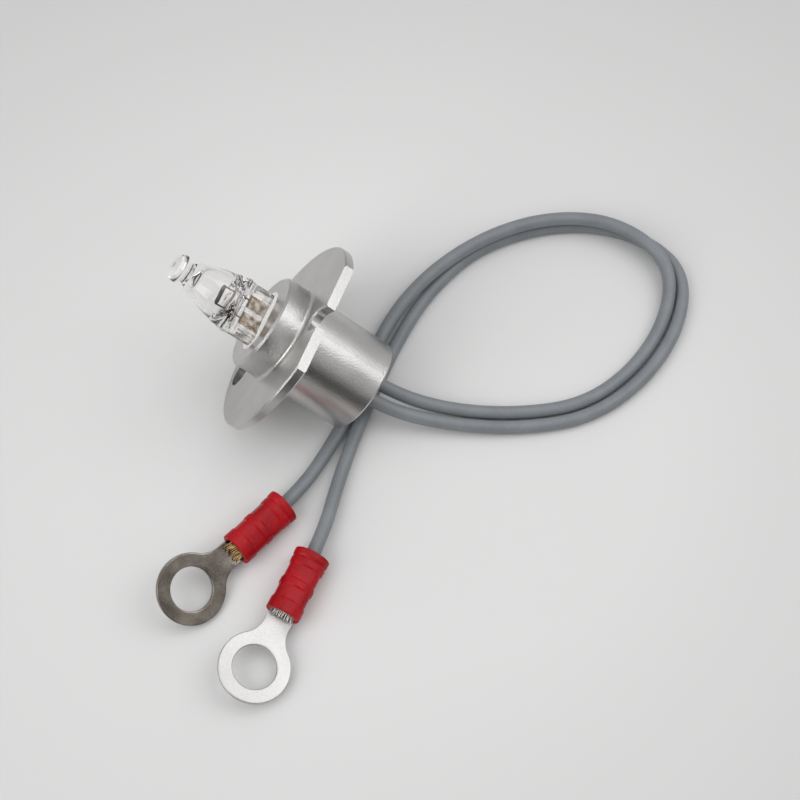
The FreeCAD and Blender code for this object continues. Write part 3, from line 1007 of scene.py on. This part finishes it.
@dataclass
class RingTerminal:
    """Ring, neck and crimp barrel stamped from one plate."""

    ring_radius: float = 5.2
    hole_radius: float = 3.2
    neck_half: float = 1.9
    blend_start: float = 11.35
    blend_radius: float = 4.0
    plate_start: float = 9.7
    barrel_width: float = 3.8
    barrel_height: float = 2.6
    barrel_start: float = 4.0
    barrel_end: float = 9.92
    barrel_wall: float = 0.32
    rear_chamfer: float = 0.08
    front_line: Line = ((0.12, 0.0), (0.03, 0.05), (0.0, 0.14), (0.0, 0.22), (0.12, 0.32))
    thickness: float = 0.75
    edge_round: float = 0.14
    cup_depth: float = 0.35
    cup_run: float = 1.6
    neck_angle: float = 48.0
    neck_steps: int = 56
    ring_steps: int = 112
    plate_steps: int = 14
    corner_steps: int = 4
    search_margin: float = 2.0
    halvings: int = 40

    def centre(self) -> float:
        """Distance of the ring's centre from the sleeve's mouth.

        Returns:
            The distance at which the neck's blend touches both neck and ring.
        """
        reach = self.ring_radius + self.blend_radius
        rise = self.neck_half + self.blend_radius
        return self.blend_start + math.sqrt(reach ** 2 - rise ** 2)

    def half_width(self, x: float) -> float:
        """Half width of the plate at a distance along the terminal.

        Args:
            x: Distance from the sleeve's mouth.

        Returns:
            Half the width of the neck, the blend or the ring there.
        """
        centre = self.centre()
        touch = centre - (centre - self.blend_start) * self.ring_radius / (
            self.ring_radius + self.blend_radius
        )
        if x < self.blend_start:
            return self.neck_half
        if x < touch:
            drop = math.sqrt(self.blend_radius ** 2 - (x - self.blend_start) ** 2)
            return self.neck_half + self.blend_radius - drop
        return math.sqrt(max(0.0, self.ring_radius ** 2 - (x - centre) ** 2))

    def outline_reach(self, angle: float) -> float:
        """Distance from the ring's centre to the plate's edge, with 0 toward the barrel.

        Args:
            angle: Angle round the ring's centre in radians.

        Returns:
            The distance in millimetres, found by halving.
        """
        low, high = self.hole_radius, self.centre() - self.plate_start + self.search_margin
        for _ in range(self.halvings):
            middle = (low + high) / 2
            x = self.centre() - middle * math.cos(angle)
            inside = x > self.plate_start and abs(middle * math.sin(angle)) < self.half_width(x)
            low, high = (middle, high) if inside else (low, middle)
        return low

    def lift(self, x: float, y: float) -> float:
        """Rise of the cupped neck, highest at its edges beside the barrel.

        Args:
            x: Distance from the sleeve's mouth.
            y: Distance from the middle line.

        Returns:
            The rise in millimetres.
        """
        run = self.blend_start + self.cup_run - self.barrel_end
        fade = 1 - smoothstep((x - self.barrel_end) / run)
        return self.cup_depth * fade * (y / self.neck_half) ** 2

    def corner(self, radius: float, height: float, turn: float) -> list[Pair]:
        """Quarter round of the plate's edge, both ends included.

        Args:
            radius: Distance of the round's middle from the ring's centre.
            height: Height of the round's middle over the plate's.
            turn: Angle at which the round begins, from where it runs clockwise.

        Returns:
            Its points as radius and height.
        """
        points = []
        for i in range(self.corner_steps + 1):
            angle = turn - math.pi / 2 * i / self.corner_steps
            points.append((
                radius + self.edge_round * math.cos(angle),
                height + self.edge_round * math.sin(angle),
            ))
        return points

    def plate_section(self, angle: float) -> list[Vector]:
        """Closed section through the plate from the hole's edge to the outer edge.

        Args:
            angle: Angle round the ring's centre in radians.

        Returns:
            The points of the section.
        """
        middle = -self.barrel_height / 2 + self.thickness / 2
        half = self.thickness / 2 - self.edge_round
        near = self.hole_radius + self.edge_round
        far = self.outline_reach(angle) - self.edge_round
        flat = [along(near, far, i / self.plate_steps) for i in range(1, self.plate_steps)]
        loop = [(r, self.thickness / 2) for r in flat]
        loop += self.corner(far, half, math.pi / 2)
        loop += self.corner(far, -half, 0.0)
        loop += [(r, -self.thickness / 2) for r in reversed(flat)]
        loop += self.corner(near, -half, -math.pi / 2)
        loop += self.corner(near, half, math.pi)
        points = []
        for radius, z in loop:
            x = self.centre() - radius * math.cos(angle)
            y = radius * math.sin(angle)
            points.append(Vector((x, y, middle + z + self.lift(x, y))))
        return points

    def build(self, name: str, place: Matrix, plating: Plating) -> bpy.types.Object:
        """Build one terminal with its plating.

        Args:
            name: Letter of the lead.
            place: Frame of the piece in millimetres to the table in metres.
            plating: How the terminal is plated.

        Returns:
            The terminal.
        """
        neck = math.radians(self.neck_angle)
        angles = [along(-neck, neck, i / self.neck_steps) for i in range(self.neck_steps)]
        angles += [along(neck, math.tau - neck, i / self.ring_steps) for i in range(self.ring_steps)]
        draft = MeshDraft(place)
        draft.rings([self.plate_section(angle) for angle in angles], loop=True)
        section = [(self.barrel_start, self.rear_chamfer)]
        section.append((self.barrel_start + self.rear_chamfer, 0.0))
        section += [(self.barrel_end - back, inset) for back, inset in self.front_line]
        section.append((self.barrel_start, self.barrel_wall))
        sleeve = CrimpSleeve()
        rings = []
        for x, inset in section:
            width = self.barrel_width - 2 * inset
            height = self.barrel_height - 2 * inset
            rings.append(sleeve.ring(x, width, height, OVAL_POWER))
        draft.rings(rings, loop=True)
        piece = draft.piece("ring_tag_" + name)
        plating.value.dress(piece)
        return seat_piece(piece, "ring_terminal_" + name)


@dataclass
class StrandFan:
    """Bared strands that spread over the neck beyond the crimp barrel."""

    end: float
    seed: int
    start: float = 9.0
    half_width: float = 1.45
    half_height: float = 0.86
    bundle_edge: float = 1.05
    strand_radius: float = 0.08
    columns: int = 11
    rows: int = 5
    rest_height: float = -0.42
    pile_pitch: float = 1.5
    fall_from: float = 0.4
    widening: float = 0.12
    tip_spread: Pair = (-0.45, 0.25)
    side_spread: Pair = (-0.2, 0.2)
    steps: int = 8
    sides: int = 10

    def build(self, name: str, place: Matrix, wire: Wire) -> bpy.types.Object:
        """Build the strands of one lead.

        Args:
            name: Letter of the lead.
            place: Frame of the piece in millimetres to the table in metres.
            wire: Metal of the strands.

        Returns:
            All the strands as one piece.
        """
        chance = random.Random(self.seed)
        draft = MeshDraft(place)
        for row in range(self.rows):
            level = along(-1, 1, (row + 0.5) / self.rows)
            for column in range(self.columns):
                spread = along(-1, 1, (column + 0.5) / self.columns)
                if spread ** 2 + level ** 2 > self.bundle_edge:
                    continue
                y = spread * self.half_width
                z = level * self.half_height
                tip = self.end + chance.uniform(*self.tip_spread)
                drift = chance.uniform(*self.side_spread)
                floor = self.rest_height + row * self.strand_radius * self.pile_pitch
                points = []
                for i in range(self.steps + 1):
                    share = i / self.steps
                    fall = smoothstep((share - self.fall_from) / (1 - self.fall_from))
                    points.append(Vector((
                        along(self.start, tip, share),
                        y * (1 + self.widening * fall) + drift * fall,
                        along(z, min(z, floor), fall),
                    )))
                draft.tube(points, self.strand_radius, self.sides)
        piece = draft.piece("strands_" + name)
        wire.value.dress(piece)
        return seat_piece(piece, "strand_end_" + name)


@dataclass
class Lead:
    """One insulated lead with what is crimped on its end."""

    name: str
    side: int
    length: float
    seat: TerminalSeat
    loop: Sequence[Triple]
    plating: Plating
    wire: Wire
    bared: float
    seed: int
    diameter: float = 2.05
    roundness: int = 8
    pole_offset: float = 1.45
    start_height: float = -9.2
    rear_height: float = -14.55
    bend_height: float = -18.35
    potting_recess: float = 0.5
    middle_shift: float = 0.43343
    seat_entries: Pair = (-3.2, 4.0)

    def route(self, lamp: Matrix) -> list[Vector]:
        """Control points of the lead in metres, from the potting to the crimp barrel.

        Args:
            lamp: Lamp frame in millimetres to the table in metres.

        Returns:
            The points in order.
        """
        y = self.side * self.pole_offset
        points = [lamp @ Vector((0, y, self.start_height)), lamp @ Vector((0, y, self.bend_height))]
        points += [Vector((x + self.middle_shift, y, z)) * MM for x, y, z in self.loop]
        seat = self.seat.matrix()
        return points + [seat @ Vector((x, 0, 0)) for x in self.seat_entries]

    def build(self, lamp: Matrix) -> bpy.types.Object:
        """Build the lead, its sleeve, terminal and strands.

        Args:
            lamp: Lamp frame in millimetres to the table in metres.

        Returns:
            The lead itself.
        """
        place = self.seat.matrix()
        on_it = [
            RingTerminal().build(self.name, place, self.plating),
            CrimpSleeve().build(self.name, place),
            StrandFan(end=self.bared, seed=self.seed).build(self.name, place, self.wire),
        ]
        radius = self.diameter / 2 * MM
        piece = thread_curve("flex_" + self.name, self.route(lamp), radius, self.roundness)
        INSULATION.dress(piece)
        seat_piece(piece, "lead_" + self.name)
        height = self.rear_height + self.potting_recess
        leaves = lamp @ Vector((0, self.side * self.pole_offset, height))
        self.diameter * MM
        return piece


LEADS = [
    Lead(
        name="a", side=1, length=158.0,
        seat=TerminalSeat(mouth=(8.77343, -20.37, 2.3014), heading=-110.5, pitch=5.5, roll=-32.5),
        loop=[
            (25.0, 3.05, 1.7), (35.0, 6.7, 1.05), (43.6, 12.0, 1.05), (48.5, 20.5, 1.05),
            (50.2, 30.0, 1.2), (48.3, 38.0, 2.35), (42.3, 41.4, 3.2), (34.5, 41.9, 3.2),
            (26.0, 38.2, 3.2), (18.8, 31.3, 3.2), (13.6, 22.5, 3.0), (10.9, 13.6, 1.85),
            (10.95, 5.0, 1.04), (11.15, -3.2, 1.04), (10.6, -10.3, 1.2),
        ],
        plating=Plating.BRIGHT, wire=Wire.GOLDEN, bared=11.0, seed=8,
    ),
    Lead(
        name="b", side=-1, length=168.5,
        seat=TerminalSeat(mouth=(15.68343, -25.99, 2.1574), heading=-92.3, pitch=4.0, roll=-15.0),
        loop=[
            (25.6, 0.75, 1.7), (36.2, 4.6, 1.05), (45.2, 10.3, 1.05), (50.7, 19.7, 1.05),
            (52.5, 30.2, 1.05), (50.2, 38.9, 1.05), (43.2, 42.3, 1.05), (34.6, 41.9, 1.05),
            (26.0, 37.9, 1.05), (18.6, 30.7, 1.05), (14.7, 21.5, 1.05), (13.4, 12.5, 1.05),
            (13.2, 3.5, 1.04), (13.35, -5.0, 1.04), (13.9, -13.0, 1.1),
        ],
        plating=Plating.MATT, wire=Wire.TINNED, bared=10.45, seed=6,
    ),
]


@dataclass
class Softbox:
    """Square soft light that looks at the lamp.

    The direction runs from the lamp to the light, the distance and the side of the square
    are in metres, and the radiance is the brightness of its face, 1 being white.
    """

    name: str
    direction: Triple
    distance: float
    size: float
    radiance: float

    def build(self) -> None:
        """Hang the light."""
        data = bpy.data.lights.new(self.name, "AREA")
        data.size = self.size
        data.energy = self.radiance * math.pi * self.size ** 2
        light = bpy.data.objects.new(self.name, data)
        way = Vector(self.direction).normalized()
        light.location = way * self.distance
        light.rotation_euler = (-way).to_track_quat("-Z", "Y").to_euler()
        bpy.context.scene.collection.objects.link(light)


SOFTBOXES = [
    Softbox("back_softbox", (0.48, 0.33, 0.8), distance=0.36, size=0.28, radiance=1.45),
    Softbox("top_softbox", (-0.3, 0.0, 1.0), distance=0.5, size=0.4, radiance=0.5),
    Softbox("front_fill", (-0.45, -0.67, 0.62), distance=0.42, size=0.37, radiance=2.35),
]


@dataclass
class Studio:
    """Camera, soft light and the pale table.

    The eye and the target are in millimetres, the clipping distance and the table's side in
    metres.
    """

    eye: Triple = (60.926, -104.467, 246.054)
    target: Triple = (17.681, 2.610, 0.0)
    lens: float = 81.0
    clip_start: float = 0.01
    table_size: float = 4.0
    table_colour: Colour = rgb(0.72, 0.718, 0.716)
    ambient: float = 0.6
    dark_share: float = 0.03
    dark_side: Triple = (-0.287, -0.493, -0.821)
    dark_span: Pair = (0.28, 0.46)

    def camera(self) -> None:
        """Set the camera at the photograph's viewing angle."""
        data = bpy.data.cameras.new("camera")
        data.lens = self.lens
        data.clip_start = self.clip_start
        camera = bpy.data.objects.new("camera", data)
        camera.location = Vector(self.eye) * MM
        aim = Vector(self.target) - Vector(self.eye)
        camera.rotation_euler = aim.to_track_quat("-Z", "Y").to_euler()
        bpy.context.scene.collection.objects.link(camera)
        bpy.context.scene.camera = camera

    def world(self) -> None:
        """Soft surround, darker low down in front."""
        world = bpy.data.worlds.new("surround")
        world.use_nodes = True
        bpy.context.scene.world = world
        graph = Graph(world.node_tree)
        way = graph.node("ShaderNodeTexCoord").outputs["Generated"]
        toward = graph.node(
            "ShaderNodeVectorMath", {"operation": "DOT_PRODUCT"}, {0: way, 1: self.dark_side}
        )
        share = Value(graph, toward.outputs["Value"]) * 0.5 + 0.5
        pale = self.ambient
        low = pale * self.dark_share
        tone = graph.fade(share, self.dark_span, rgb(pale, pale, pale), rgb(low, low, low))
        sky = graph.node("ShaderNodeBackground", None, {"Color": tone, "Strength": 1.0})
        graph.node("ShaderNodeOutputWorld", None, {"Surface": sky.outputs[0]})

    def table(self) -> None:
        """Lay the pale table."""
        data = bpy.data.meshes.new("table")
        half = self.table_size / 2
        corners = [(-half, -half, 0), (half, -half, 0), (half, half, 0), (-half, half, 0)]
        data.from_pydata(corners, [], [(0, 1, 2, 3)])
        table = bpy.data.objects.new("table", data)
        bpy.context.scene.collection.objects.link(table)
        TableTop("table_top", self.table_colour).dress(table)

    def build(self) -> None:
        """Set up everything round the lamp."""
        bpy.context.scene.view_settings.view_transform = "Standard"
        self.camera()
        for softbox in SOFTBOXES:
            softbox.build()
        self.world()
        self.table()
        log.info("studio is set")


def dress_nodes(nodes: dict[str, bpy.types.Object]) -> None:
    """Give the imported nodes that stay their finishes.

    Args:
        nodes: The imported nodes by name.
    """
    finishes: dict[str, Finish] = {
        "holder": HOLDER_METAL,
        "seating_cement": CEMENT,
        "rear_potting": POTTING,
    }
    for name in ("a", "b"):
        finishes["inner_lead_" + name] = TUNGSTEN
        finishes["foil_" + name] = FOIL
        finishes["contact_pin_" + name] = PIN_METAL
        finishes["splice_ferrule_" + name] = PIN_METAL
        finishes["lead_core_" + name] = Wire.TINNED.value
    for node, finish in finishes.items():
        finish.dress(nodes[node])
        log.info("%s is dressed in %s", node, finish.name)


def main() -> None:
    """Build the looks in order."""
    logging.basicConfig(level=logging.INFO, format="%(name)s: %(message)s")
    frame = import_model()
    lamp = LampFrame().matrix(frame["record"])
    Studio().build()
    for lead in LEADS:
        lead.build(lamp)
    QuartzBulb().build(lamp)
    FilamentCoil().build(lamp)
    dress_nodes(frame["nodes"])


if __name__ == "__main__":
    main()
